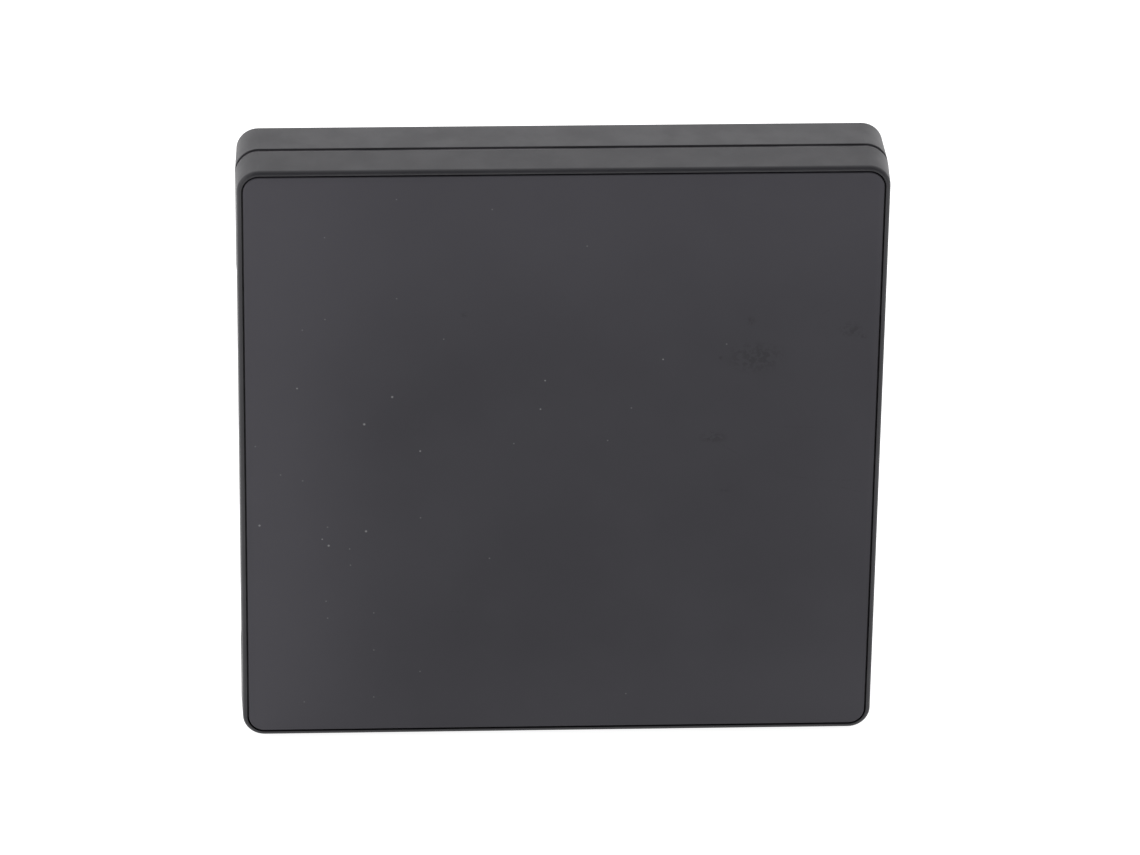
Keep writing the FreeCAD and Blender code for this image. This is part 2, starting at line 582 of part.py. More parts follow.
def switch_body(which):
    """A side-pushed tact switch on its moulded riser, with a bore for the plunger."""
    x0, z = SWITCH_FACE[which], SWITCH_Z[which]
    body = block(x0, x0 + SWITCH_DEEP, BOARD_REAR_Y, PORT_Y + SWITCH_HALF, z - SWITCH_HALF, z + SWITCH_HALF)
    body = body.makeChamfer(0.3, edges_along(body, V(0, 1, 0)))
    return body.cut(pin_x(PORT_Y, z, PLUNGER_R[which] + 0.2, x0 - 1, x0 + 2.6))


def switch_plunger(which):
    out_x, z = PLUNGER_OUT_X[which], SWITCH_Z[which]
    plunger = pin_x(PORT_Y, z, PLUNGER_R[which], out_x, SWITCH_FACE[which] + 1.9)
    return plunger.makeFillet(0.25, edges_on_plane(plunger, V(1, 0, 0), out_x))


def pair_button():
    """The oval cap, the flange that keeps it behind the panel, and the pip that meets the switch."""
    face_x, behind_x = PANEL_OUT_X - BUTTON_PROUD, FLANGE_X[1] + 0.3
    cap = pair_outline(0, face_x, behind_x)
    cap = cap.makeFillet(0.4, edges_on_plane(cap, V(1, 0, 0), face_x))
    flange = block(behind_x, behind_x + 0.6, PORT_Y - 3.1, PORT_Y + 3.1, PAIR_Z - 4.9, PAIR_Z + 4.9)
    pip = pin_x(PORT_Y, PAIR_Z, 1.2, behind_x + 0.6, behind_x + 0.95)
    return cap.multiFuse([flange, pip]).removeSplitter()


def chips(name):
    return group([on_board(*chip) for chip in CHIPS[name]])


def power_inductors():
    """Shielded coils: a square block with cut corners and a round top."""
    coils = []
    for x, z in COILS:
        body = block_at(x, z, 6, 6, BOARD_REAR_Y, BOARD_REAR_Y + 2.4)
        body = body.makeChamfer(0.9, edges_along(body, V(0, 1, 0)))
        coils.append(body.fuse(pin_y(x, z, 2.5, BOARD_REAR_Y + 2.4, BOARD_REAR_Y + 3.0)).removeSplitter())
    return group(coils)


def bulk_capacitors():
    """Round aluminium cans on square plastic bases with two cut corners."""
    cans = []
    for x, z in CAPACITORS:
        base = block_at(x, z, 6.6, 6.6, BOARD_REAR_Y, BOARD_REAR_Y + 1.0)
        can = pin_y(x, z, 3.1, BOARD_REAR_Y + 1.0, BOARD_REAR_Y + 6.0)
        can = can.makeFillet(0.4, edges_on_plane(can, V(0, 1, 0), BOARD_REAR_Y + 6.0))
        cans.append(base.fuse(can).removeSplitter())
    return group(cans)


def chip_resistors():
    """Small two-ended chips, in short rows beside the larger parts."""
    found = []
    for x, z, across, up in RESISTOR_ROWS:
        for i in range(across):
            for j in range(up):
                found.append(on_board(x + RESISTOR_PITCH * i, z + RESISTOR_PITCH * j, 1.0, 0.5, 0.35))
    return group(found)


# ---- cans over the chips, the pads and the heat sink --------------------------------------------------
def ring_y(box, inset, thick, y0, y1):
    """A rectangular frame standing on the XZ plane: its outside is the box moved in by inset."""
    x0, x1, z0, z1 = box
    outer = block(x0 + inset, x1 - inset, y0, y1, z0 + inset, z1 - inset)
    inner = inset + thick
    return outer.cut(block(x0 + inner, x1 - inner, y0, y1, z0 + inner, z1 - inner))


def shield_frame(which):
    box = CANS[which]
    top = BOARD_REAR_Y + CAN_TALL - CAN_SHEET - 0.05
    wall = ring_y(box, CAN_SHEET + 0.05, 0.25, BOARD_REAR_Y, top)
    return wall.fuse(ring_y(box, CAN_SHEET + 0.05, 0.9, top - 0.25, top)).removeSplitter()


def shield_lid(which):
    """A pressed cover over the frame, with its skirt notched at the corners."""
    x0, x1, z0, z1 = box = CANS[which]
    top = BOARD_REAR_Y + CAN_TALL
    lid = block(x0, x1, top - CAN_SHEET, top, z0, z1).fuse(ring_y(box, 0, CAN_SHEET, top - 1.5, top))
    lid = lid.removeSplitter()
    for x in (x0, x1):
        for z in (z0, z1):
            lid = lid.cut(block_at(x, z, 1.0, 1.0, top - 2, top - CAN_SHEET))
    return lid


def chip_pads():
    """Soft pads that fill the space between a chip and its lid."""
    under_lid = BOARD_REAR_Y + CAN_TALL - CAN_SHEET
    pads = []
    for chip, size in PADDED_CHIPS.items():
        x, z, _, _, chip_top, _ = CHIPS[chip][0]
        pads.append(block_at(x, z, size, size, BOARD_REAR_Y + chip_top, under_lid))
    return group(pads)


def lid_pads():
    """Soft pads between the lids and the heat sink."""
    y0 = BOARD_REAR_Y + CAN_TALL
    return group([block(x0 + 2, x1 - 2, y0, y0 + SINK_PAD, z0 + 2, z1 - 2)
                  for x0, x1, z0, z1 in CANS.values()])


def heatsink():
    """A cast plate with upright fins and four stand-offs that rest on the board."""
    x0, x1, z0, z1 = SINK_BOX
    sink = block(x0, x1, SINK_BASE_Y, SINK_BASE_Y + SINK_BASE, z0, z1)
    sink = sink.makeFillet(2.0, edges_along(sink, V(0, 1, 0)))
    fin_y = SINK_BASE_Y + SINK_BASE
    added = [pin_y(x, z, 2.1, BOARD_REAR_Y, SINK_BASE_Y) for x, z in SINK_SCREWS]
    for i in range(SINK_FIN_COUNT):
        x = x0 + 5.0 + SINK_FIN_PITCH * i
        added.append(block(x, x + 1.0, fin_y, fin_y + SINK_FIN_TALL, z0 + 1, SINK_FIN_TOP))
    sink = sink.multiFuse(added).removeSplitter()
    return sink.cut(group([pin_y(x, z, 1.1, BOARD_REAR_Y, fin_y) for x, z in SINK_SCREWS]))


def heatsink_pins():
    """Push pins: a flat head, a stem, and a tip that spreads under the board."""
    head_y = SINK_BASE_Y + SINK_BASE
    pins = []
    for x, z in SINK_SCREWS:
        head = pin_y(x, z, 1.9, head_y, head_y + 0.9)
        stem = pin_y(x, z, 1.0, BOARD_FRONT_Y - 0.05, head_y)
        tip = Part.makeCone(1.35, 0.7, 1.0, V(x, BOARD_FRONT_Y - 0.05, z), V(0, -1, 0))
        pins.append(head.multiFuse([stem, tip]).removeSplitter())
    return group(pins)


# ---- antennas and their cables ------------------------------------------------------------------------
def antenna(name):
    side, along, half = ANTENNAS[name]
    return on_side(side, along, ANTENNA_AT + ANTENNA_THICK / 2, ANTENNA_THICK, 2 * half, *ANTENNA_Y)


def coax_cable(name):
    """Straight runs joined by arcs tangent to both, swept with the cable's round section."""
    points = [V(x, COAX_Y, z) for x, z in COAX[name]]
    edges = []
    start = points[0]
    for before, corner, after in zip(points, points[1:], points[2:]):
        back, ahead = before - corner, after - corner
        room = 0.45 * min(back.Length, ahead.Length)
        back.normalize()
        ahead.normalize()
        half_turn = (math.pi - back.getAngle(ahead)) / 2
        radius = room / math.tan(half_turn)
        bisector = (back + ahead).normalize()
        middle = corner + bisector * (radius / math.cos(half_turn) - radius)
        enter, leave = corner + back * room, corner + ahead * room
        edges.append(Part.LineSegment(start, enter).toShape())
        edges.append(Part.Arc(enter, middle, leave).toShape())
        start = leave
    edges.append(Part.LineSegment(start, points[-1]).toShape())
    along = points[1] - points[0]
    section = Part.Wire([Part.makeCircle(COAX_R, points[0], along)])
    return Part.Wire(edges).makePipeShell([section], True, False)


def coax_sockets():
    """Surface sockets: a square foot and a ring."""
    sockets = []
    for x, z in COAX_END.values():
        ring = pin_y(x, z, 0.95, BOARD_REAR_Y + 0.35, BOARD_REAR_Y + 1.2)
        sockets.append(on_board(x, z, 2.6, 2.6, 0.35).fuse(ring).removeSplitter())
    return group(sockets)


def coax_plugs():
    """Caps that snap over the sockets."""
    plugs = []
    for x, z in COAX_END.values():
        cap = pin_y(x, z, PLUG_R, BOARD_REAR_Y + 0.45, BOARD_REAR_Y + PLUG_TALL)
        plugs.append(cap.cut(pin_y(x, z, 1.0, BOARD_REAR_Y, BOARD_REAR_Y + 1.3)))
    return group(plugs)


# ---- write every piece --------------------------------------------------------------------------------
pieces = {
    "front_shell": front_shell(), "rear_shell": rear_shell(), "cover_plate": cover_plate(),
    "cover_adhesive": cover_adhesive(), "port_panel": port_panel(), "base_feet": base_feet(),
    "rating_label": rating_label(), "case_screws": case_screws(), "main_board": main_board(),
    "board_screws": board_screws(), "dc_jack_body": dc_jack_body(), "dc_jack_pin": dc_jack_pin(),
    "dc_jack_spring": dc_jack_spring(), "light_pipe": light_pipe(), "status_led": status_led(),
    "pair_button": pair_button(), "power_inductors": power_inductors(), "bulk_capacitors": bulk_capacitors(),
    "chip_resistors": chip_resistors(), "chip_pads": chip_pads(), "lid_pads": lid_pads(),
    "heatsink": heatsink(), "heatsink_pins": heatsink_pins(), "coax_sockets": coax_sockets(),
    "coax_plugs": coax_plugs(),
}
for chip in CHIPS:
    pieces[chip] = chips(chip)
for which in SWITCH_Z:
    pieces[which + "_switch_body"] = switch_body(which)
    pieces[which + "_switch_plunger"] = switch_plunger(which)
for jack, height in (("wan", WAN_Z), ("lan", LAN_Z)):
    pieces[jack + "_jack_shield"] = jack_shield(height)
    pieces[jack + "_jack_body"] = jack_body(height)
    pieces[jack + "_jack_contacts"] = jack_contacts(height)
for can in CANS:
    pieces["shield_frame_" + can] = shield_frame(can)
    pieces["shield_lid_" + can] = shield_lid(can)
for place in ANTENNAS:
    pieces["antenna_" + place] = antenna(place)
    pieces["coax_" + place] = coax_cable(place)

os.makedirs("parts", exist_ok=True)
for name, shape in pieces.items():
    shape.translate(V(0, 0, LIFT))
    shape.exportStep("parts/" + name + ".step")
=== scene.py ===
"""A square mesh wifi node in charcoal plastic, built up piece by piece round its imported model."""
import math

import bmesh
import bpy
from mathutils import Matrix, Vector


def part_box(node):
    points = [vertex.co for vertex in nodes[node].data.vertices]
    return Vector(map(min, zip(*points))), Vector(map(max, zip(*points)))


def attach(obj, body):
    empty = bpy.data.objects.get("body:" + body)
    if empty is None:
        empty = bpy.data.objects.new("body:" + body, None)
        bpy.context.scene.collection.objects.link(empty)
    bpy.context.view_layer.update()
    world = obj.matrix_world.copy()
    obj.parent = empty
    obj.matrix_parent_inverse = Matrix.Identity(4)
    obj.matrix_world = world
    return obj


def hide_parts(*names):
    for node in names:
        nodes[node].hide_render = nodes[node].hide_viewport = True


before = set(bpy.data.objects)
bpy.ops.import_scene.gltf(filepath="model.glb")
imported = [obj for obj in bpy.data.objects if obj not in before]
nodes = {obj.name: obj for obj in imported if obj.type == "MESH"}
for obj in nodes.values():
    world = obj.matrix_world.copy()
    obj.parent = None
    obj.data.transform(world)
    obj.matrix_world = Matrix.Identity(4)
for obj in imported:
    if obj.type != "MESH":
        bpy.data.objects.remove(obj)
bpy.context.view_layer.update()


# ---- Case shells --------------------------------------------------------------------------------------
# The two halves of the case, injection moulded in charcoal plastic with a soft-touch coat; its outer edges
# are painted paler in patches, a painted highlight.  They meet at a narrow groove that is painted pale in
# patches, painted light that lifts the shade in it.
MM = 0.001
CHARCOAL_DARK = (0.0185, 0.0182, 0.0212)
CHARCOAL_LIGHT = (0.0240, 0.0236, 0.0270)
# painted highlight on the outer edges: its tone, its reach, and its patches
EDGE_HIGHLIGHT_TONE = (0.045, 0.044, 0.047)
CASE_SHINE = 0.36
HIGHLIGHT_EDGE_REACH = 0.5 * MM
HIGHLIGHT_BEGINS, HIGHLIGHT_FULL = 0.02, 0.35       # how sharply an edge turns
HIGHLIGHT_PATCH = 5.0 * MM
HIGHLIGHT_STRENGTH = 0.7
GLOSS_PATCH_SHARE = 0.35
WAVE_SIZE = 4.0 * MM
WAVE_DEPTH = 0.008 * MM
# painted light in the parting groove: its pale tone, its patches, and how thin it gets
GROOVE_PAINTED_LIGHT = (0.105, 0.102, 0.108)
GROOVE_Y = -0.9 * MM
GROOVE_HALF_WIDE = 0.5 * MM
GROOVE_LIGHT_PATCH = 16.0 * MM
GROOVE_LIGHT_THINNEST = 0.45


def new_finish(name):
    """A new material that can look up a place in the piece's own coordinates."""
    mat = bpy.data.materials.new(name)
    mat.use_nodes = True
    mat.node_tree.nodes.new("ShaderNodeTexCoord")
    return mat


def insides(mat):
    """A finish's node tree, its shader, and the place in the piece's own coordinates."""
    tree = mat.node_tree
    return tree, tree.nodes["Principled BSDF"], tree.nodes["Texture Coordinate"].outputs["Object"]


def add_node(tree, kind, **values):
    """A shader node; each value sets the socket of that name, or else the node's own property."""
    made = tree.nodes.new("ShaderNode" + kind)
    for key, value in values.items():
        socket = key.replace("_", " ")
        if socket in made.inputs:
            made.inputs[socket].default_value = value
        else:
            setattr(made, key, value)
    return made


def cloudy(tree, place, size, detail=3.0, rough=0.5, stretch=None):
    """Soft noise whose patches are about size across; stretch squeezes it along X, Y and Z."""
    if stretch:
        mapping = add_node(tree, "Mapping", Scale=stretch)
        tree.links.new(place, mapping.inputs["Vector"])
        place = mapping.outputs["Vector"]
    made = add_node(tree, "TexNoise", Scale=1.0 / size, Detail=detail, Roughness=rough)
    tree.links.new(place, made.inputs["Vector"])
    return made.outputs["Fac"]


def between(tree, factor, low, high, start=0.3, end=0.7):
    """Carries a factor from start..end over to low..high, with a soft start and end."""
    made = add_node(tree, "MapRange", interpolation_type="SMOOTHSTEP", From_Min=start, From_Max=end,
                    To_Min=low, To_Max=high)
    tree.links.new(factor, made.inputs["Value"])
    return made.outputs["Result"]


def combine(tree, how, first, second):
    """A Math node over two factors, the second of which may be a number."""
    made = add_node(tree, "Math", operation=how)
    tree.links.new(first, made.inputs[0])
    if isinstance(second, float):
        made.inputs[1].default_value = second
    else:
        tree.links.new(second, made.inputs[1])
    return made.outputs[0]


def split_axes(tree, vector):
    """The X, Y and Z outputs of a vector."""
    made = add_node(tree, "SeparateXYZ")
    tree.links.new(vector, made.inputs["Vector"])
    return made.outputs["X"], made.outputs["Y"], made.outputs["Z"]


def blend_colours(tree, factor, first, second):
    """Mixes two colours, each a fixed colour or another node's output."""
    made = add_node(tree, "Mix", data_type="RGBA")
    for socket, colour in ((made.inputs[6], first), (made.inputs[7], second)):
        if isinstance(colour, tuple):
            socket.default_value = (*colour, 1.0)
        else:
            tree.links.new(colour, socket)
    tree.links.new(factor, made.inputs["Factor"])
    return made.outputs[2]


def clouded_colour(tree, place, size, dark, light, detail=4.0):
    """Two tones of a colour in soft patches."""
    return blend_colours(tree, between(tree, cloudy(tree, place, size, detail), 0, 1), dark, light)


def tone_of(shader):
    """The node output that colours a shader."""
    return shader.inputs["Base Color"].links[0].from_socket


def raised(tree, height, depth, under=None):
    """A bump of the given depth in metres, laid over another one."""
    made = add_node(tree, "Bump", Distance=depth, Strength=1.0)
    tree.links.new(height, made.inputs["Height"])
    if under is not None:
        tree.links.new(under, made.inputs["Normal"])
    return made.outputs["Normal"]


def edge_mask(tree):
    """One on the outer edges, nought on the flats."""
    soft = add_node(tree, "Bevel", samples=4, Radius=HIGHLIGHT_EDGE_REACH)
    geometry = add_node(tree, "NewGeometry")
    facing = add_node(tree, "VectorMath", operation="DOT_PRODUCT")
    tree.links.new(soft.outputs["Normal"], facing.inputs[0])
    tree.links.new(geometry.outputs["Normal"], facing.inputs[1])
    turned = add_node(tree, "Math", operation="SUBTRACT")
    turned.inputs[0].default_value = 1.0
    tree.links.new(facing.outputs["Value"], turned.inputs[1])
    return between(tree, turned.outputs[0], 0.0, 1.0, HIGHLIGHT_BEGINS, HIGHLIGHT_FULL)


def moulded_plastic(name, dark, light, rough, patch=0.018, grain=0.00022, depth=0.000010, rub_and_highlight=None):
    """Moulded plastic: patches of slightly different tone and gloss over a fine, pebbled tool texture."""
    mat = new_finish(name)
    tree, shader, place = insides(mat)
    tone = clouded_colour(tree, place, patch, dark, light)
    # painted highlight: when a tone is given, the outer edges are painted paler, in patches
    if rub_and_highlight:
        uneven = between(tree, cloudy(tree, place, HIGHLIGHT_PATCH, 5.0, 0.6), 0.0, HIGHLIGHT_STRENGTH, 0.42, 0.66)
        highlight_share = combine(tree, "MULTIPLY", edge_mask(tree), uneven)
        tone = blend_colours(tree, highlight_share, tone, rub_and_highlight)
    tree.links.new(tone, shader.inputs["Base Color"])
    gloss = cloudy(tree, place, patch * GLOSS_PATCH_SHARE, 5.0, 0.6)
    tree.links.new(between(tree, gloss, *rough), shader.inputs["Roughness"])
    waves = raised(tree, cloudy(tree, place, WAVE_SIZE, 2.0), WAVE_DEPTH)
    tree.links.new(raised(tree, cloudy(tree, place, grain, 2.0), depth, waves), shader.inputs["Normal"])
    return mat


def paint(mat, *names):
    """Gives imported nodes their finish."""
    for name in names:
        nodes[name].data.materials.clear()
        nodes[name].data.materials.append(mat)


case_finish = moulded_plastic("soft_touch_case", CHARCOAL_DARK, CHARCOAL_LIGHT, (0.44, 0.51), rub_and_highlight=EDGE_HIGHLIGHT_TONE)
case_tree, case_shader, case_place = insides(case_finish)
case_shader.inputs["Specular IOR Level"].default_value = CASE_SHINE
back_to_front = split_axes(case_tree, case_place)[1]
# painted light: the groove between the shells is painted pale, in patches, to lift the shade that falls in it
off_groove = combine(case_tree, "SUBTRACT", back_to_front, GROOVE_Y)
off_groove = combine(case_tree, "ABSOLUTE", off_groove, 0.0)
in_groove = between(case_tree, off_groove, 1.0, 0.0, GROOVE_HALF_WIDE * 0.9, GROOVE_HALF_WIDE * 1.1)
groove_light_patches = cloudy(case_tree, case_place, GROOVE_LIGHT_PATCH, 4.0, 0.6)
groove_light_patches = between(case_tree, groove_light_patches, GROOVE_LIGHT_THINNEST, 1.0, 0.35, 0.65)
in_groove = combine(case_tree, "MULTIPLY", in_groove, groove_light_patches)
groove_lit_tone = blend_colours(case_tree, in_groove, tone_of(case_shader), GROOVE_PAINTED_LIGHT)
case_tree.links.new(groove_lit_tone, case_shader.inputs["Base Color"])
paint(case_finish, "front_shell", "rear_shell")


# ---- Antennas and their cables ------------------------------------------------------------------------
# Four small printed boards slide into the front shell's cheeks.  Each has a folded copper strip etched on
# its inner face, and a thin coaxial cable soldered to the strip's foot runs to a snap-on plug.
MASK_DARK = (0.004, 0.030, 0.013)
MASK_LIGHT = (0.008, 0.052, 0.022)
COPPER_LIGHT = (0.68, 0.36, 0.20)
COPPER_DARK = (0.55, 0.26, 0.13)
GOLD = (0.92, 0.70, 0.34)
GOLD_SHADE = (0.84, 0.60, 0.27)
FOIL = 0.04 * MM
CLOTH_SIZE = 0.5 * MM
CLOTH_DEPTH = 0.008 * MM
LACQUER_PATCH = 6.0 * MM
LACQUER_GLOSS_PATCH = 3.0 * MM
LACQUER_ROUGH = (0.22, 0.36)
LACQUER_COAT = 0.3
LACQUER_COAT_ROUGH = 0.15
MARK_SHARE = 0.06           # how fine a metal's marks are, next to its clouds
SMOOTH_UNDER = math.radians(32)
# which way each antenna board's inner face looks
INNER_FACES = (("top_left", (0, 0, -1)), ("top_right", (0, 0, -1)),
               ("right", (-1, 0, 0)), ("bottom", (0, 0, 1)))
# each folded strip, in parts of the board's length and height: (from, to) corners
FOLDED_STRIP = [((0.06, 0.10), (0.94, 0.22)), ((0.47, 0.22), (0.51, 0.62)), ((0.06, 0.62), (0.94, 0.72)),
                ((0.06, 0.72), (0.10, 0.90)), ((0.06, 0.82), (0.40, 0.90)), ((0.90, 0.72), (0.94, 0.90)),
                ((0.62, 0.82), (0.94, 0.90)), ((0.56, 0.22), (0.59, 0.62))]


def solder_mask(name, dark, light):
    """Glossy lacquer over glass cloth: a woven ripple under a deep, slightly uneven colour."""
    mat = new_finish(name)
    tree, shader, place = insides(mat)
    weave = cloudy(tree, place, CLOTH_SIZE, 2.0, 0.5, (1.0, 1.0, 0.35))
    gloss = cloudy(tree, place, LACQUER_GLOSS_PATCH, 4.0)
    tree.links.new(clouded_colour(tree, place, LACQUER_PATCH, dark, light), shader.inputs["Base Color"])
    tree.links.new(between(tree, gloss, *LACQUER_ROUGH), shader.inputs["Roughness"])
    tree.links.new(raised(tree, weave, CLOTH_DEPTH), shader.inputs["Normal"])
    shader.inputs["Coat Weight"].default_value = LACQUER_COAT
    shader.inputs["Coat Roughness"].default_value = LACQUER_COAT_ROUGH
    return mat


def worked_metal(name, dark, light, rough, size=0.003, stretch=(1.0, 1.0, 1.0), depth=0.000002):
    """Bare metal: clouded tone, with fine marks drawn out along the way it was rolled, cut or drawn."""
    mat = new_finish(name)
    tree, shader, place = insides(mat)
    marks = cloudy(tree, place, size * MARK_SHARE, 3.0, 0.6, stretch)
    tree.links.new(clouded_colour(tree, place, size, dark, light), shader.inputs["Base Color"])
    tree.links.new(between(tree, marks, *rough), shader.inputs["Roughness"])
    tree.links.new(raised(tree, marks, depth), shader.inputs["Normal"])
    shader.inputs["Metallic"].default_value = 1.0
    return mat


def slab_between(bm, low, high):
    """Adds a box between two corners to a bmesh."""
    made = bmesh.ops.create_cube(bm, size=1.0)["verts"]
    bmesh.ops.scale(bm, vec=high - low, verts=made)
    bmesh.ops.translate(bm, vec=(high + low) / 2, verts=made)


def as_piece(bm, name, mat, slot, *stands_for):
    """Turns a bmesh into a finished piece of the case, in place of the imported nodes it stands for."""
    bmesh.ops.recalc_face_normals(bm, faces=bm.faces)
    mesh = bpy.data.meshes.new(name)
    bm.to_mesh(mesh)
    bm.free()
    mesh.shade_smooth()
    mesh.set_sharp_from_angle(angle=SMOOTH_UNDER)
    mesh.materials.append(mat)
    made = bpy.data.objects.new(name, mesh)
    bpy.context.scene.collection.objects.link(made)
    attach(made, "case")
    if stands_for:
        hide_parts(*stands_for)


mask_finish = solder_mask("antenna_mask", MASK_DARK, MASK_LIGHT)
copper_finish = worked_metal("etched_copper", COPPER_DARK, COPPER_LIGHT, (0.28, 0.42))
paint(mask_finish, "antenna_top_left", "antenna_top_right", "antenna_right", "antenna_bottom")
for side, inward in INNER_FACES:
    low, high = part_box("antenna_" + side)
    lengthwise = 2 if inward[0] else 0
    through = 0 if inward[0] else 2
    face = low[through] if inward[through] < 0 else high[through]
    copper = bmesh.new()
    for (from_along, from_up), (to_along, to_up) in FOLDED_STRIP:
        near, far = Vector(low), Vector(low)
        near[lengthwise] = low[lengthwise] + from_along * (high[lengthwise] - low[lengthwise])
        far[lengthwise] = low[lengthwise] + to_along * (high[lengthwise] - low[lengthwise])
        near.y = low.y + from_up * (high.y - low.y)
        far.y = low.y + to_up * (high.y - low.y)
        near[through] = min(face, face + inward[through] * FOIL)
        far[through] = max(face, face + inward[through] * FOIL)
        slab_between(copper, near, far)
    as_piece(copper, "antenna_strip_" + side, copper_finish, "antenna_board")
sheath_finish = moulded_plastic("cable_sheath", (0.030, 0.030, 0.031), (0.042, 0.042, 0.043), (0.26, 0.34),
                                patch=0.004, grain=0.0006, depth=0.000006)
paint(sheath_finish, "coax_top_left", "coax_top_right", "coax_right", "coax_bottom")
gold_finish = worked_metal("gold_plate", GOLD_SHADE, GOLD, (0.20, 0.32), depth=0.0000006)
paint(gold_finish, "coax_plugs", "coax_sockets")


# ---- Main board ---------------------------------------------------------------------------------------
# A four-layer glass-cloth board under green lacquer, screwed to four posts.  Copper tracks show as low
# ridges under the lacquer, and bare plated rings surround the screw holes and the heat sink's pins.
board_low, board_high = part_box("main_board")
BOARD_FACE = board_high.y
MIDDLE_Z = 60.8 * MM        # the height of the case's middle
TRACK_WIDE = 0.22 * MM
TRACK_PITCH = 0.5 * MM
# runs of side-by-side tracks: how many, then the corners (x, z) in mm from the case's middle
TRACK_RUNS = [
    (8, [(-40.6, -13), (-38, -13), (-36, -12.4)]),
    (8, [(-40.6, 5), (-41.2, -4), (-39.4, -6.5)]),
    (10, [(-31.0, -8.5), (-28, -8.5), (-24.6, -5.0)]),
    (6, [(-24.5, 6), (-31, 6), (-36, 22), (-42, 22)]),
    (12, [(14.5, 2), (16.2, 4), (17.6, 4)]),
    (12, [(14.5, -12), (16.0, -18), (17.6, -18)]),
    (4, [(30, 20.4), (30, 27), (36, 28.4)]),
    (4, [(22.5, 20.4), (22.5, 28.4)]),
    (4, [(-9.5, 16.4), (-9.5, 28.4)]),
    (5, [(-43, -34), (-40, -38), (-38.6, -38.5)]),
    (6, [(-30, -40), (-12, -44.5), (6, -44.5), (16, -41)]),
    (5, [(-50.8, 29), (-46, 33), (-41, 33.6)]),
    (7, [(-34, 30), (-20, 27), (0, 27), (8, 34), (34, 41)]),
    (5, [(30, -36.4), (30, -41), (26.5, -42.6)]),
    (6, [(43.5, -30), (44.5, -20), (44.5, 10), (43, 18)]),
]
# plated holes, in the same way, and the hole's and the rings' radii
SCREW_HOLES = [(-46, 41), (40, 41.5), (-46, -43), (41, -43.2)]
PIN_HOLES = [(-26.3, 22.3), (42.8, 22.9), (-26.3, -37.3), (43.6, -38.2)]
HOLE_R = 1.25 * MM
SCREW_RING_R = 2.6 * MM
PIN_RING_R = 2.5 * MM


def track(bm, start, end):
    """A straight flat track between two points on the board's rear face."""
    run = end - start
    turn = Matrix.Rotation(-math.atan2(run.z, run.x), 3, "Y")
    middle = (start + end) / 2
    made = bmesh.ops.create_cube(bm, size=1.0)["verts"]
    bmesh.ops.scale(bm, vec=(run.length + TRACK_WIDE, FOIL, TRACK_WIDE), verts=made)
    bmesh.ops.rotate(bm, cent=(0, 0, 0), matrix=turn, verts=made)
    bmesh.ops.translate(bm, vec=(middle.x, BOARD_FACE + FOIL / 2, middle.z), verts=made)


def plated_ring(bm, x, z, outer):
    """A flat ring round a hole in the board's front face, turned from its section."""
    low_y, high_y = board_low.y - FOIL, board_low.y
    section = ((HOLE_R, low_y), (outer, low_y), (outer, high_y), (HOLE_R, high_y))
    ring = [bm.verts.new((x + r, y, z)) for r, y in section]
    edges = [bm.edges.new((ring[i], ring[(i + 1) % 4])) for i in range(4)]
    bmesh.ops.spin(bm, geom=ring + edges, cent=(x, 0, z), axis=(0, 1, 0), angle=math.tau, steps=24,
                   use_merge=True)


paint(solder_mask("board_mask", (0.003, 0.024, 0.011), (0.006, 0.042, 0.018)), "main_board")
tracks = bmesh.new()
for count, corners in TRACK_RUNS:
    route = [Vector((x, 0, z)) for x, z in corners]
    for i in range(count):
        aside = (i - (count - 1) / 2) * TRACK_PITCH
        points = []
        for k, corner in enumerate(route):
            way = (route[min(k + 1, len(route) - 1)] - route[max(k - 1, 0)]).normalized()
            x = corner.x * MM - way.z * aside
            z = corner.z * MM + MIDDLE_Z + way.x * aside
            points.append(Vector((x, 0, z)))
        for start, end in zip(points, points[1:]):
            track(tracks, start, end)
track_finish = solder_mask("track_mask", (0.010, 0.070, 0.030), (0.014, 0.095, 0.040))
as_piece(tracks, "board_tracks", track_finish, "board")
rings = bmesh.new()
for holes, outer in ((SCREW_HOLES, SCREW_RING_R), (PIN_HOLES, PIN_RING_R)):
    for x, z in holes:
        plated_ring(rings, x * MM, z * MM + MIDDLE_Z, outer)
as_piece(rings, "board_rings", gold_finish, "plated_contact")
steel_finish = worked_metal("black_zinc", (0.055, 0.055, 0.060), (0.095, 0.094, 0.098), (0.30, 0.46), 0.0015)
paint(steel_finish, "board_screws", "case_screws")


# ---- Chips and small parts ----------------------------------------------------------------------------
# Black epoxy packages with a moulded dot at the first leg, potted transformers, ferrite coils, aluminium
# capacitor cans and little ceramic chips, all soldered to the rear face of the board.
LEG_WIDE = 0.22 * MM
LEG_TALL = 0.35 * MM
LEG_LONG = 0.9 * MM
LEG_PITCH = 0.58 * MM
LEGS_A_SIDE = 12
DOT_R = 0.35 * MM
DOT_THICK = 0.02 * MM
CAN_BASE = 1.0 * MM
CAN_SEAM = 0.03 * MM
CAN_BASE_BLACK = (0.015, 0.015, 0.016)
epoxy_finish = moulded_plastic("chip_epoxy", (0.012, 0.012, 0.013), (0.020, 0.020, 0.021), (0.40, 0.55),
                               patch=0.003, grain=0.00008, depth=0.000006)
paint(epoxy_finish, "processor_chip", "memory_chips", "radio_chip_5g", "radio_chip_2g", "ethernet_chip",
      "amplifier_modules")
legs = bmesh.new()
chip_low, chip_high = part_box("ethernet_chip")
chip_middle = (chip_low + chip_high) / 2
reach = (chip_high.x - chip_low.x + LEG_LONG) / 2
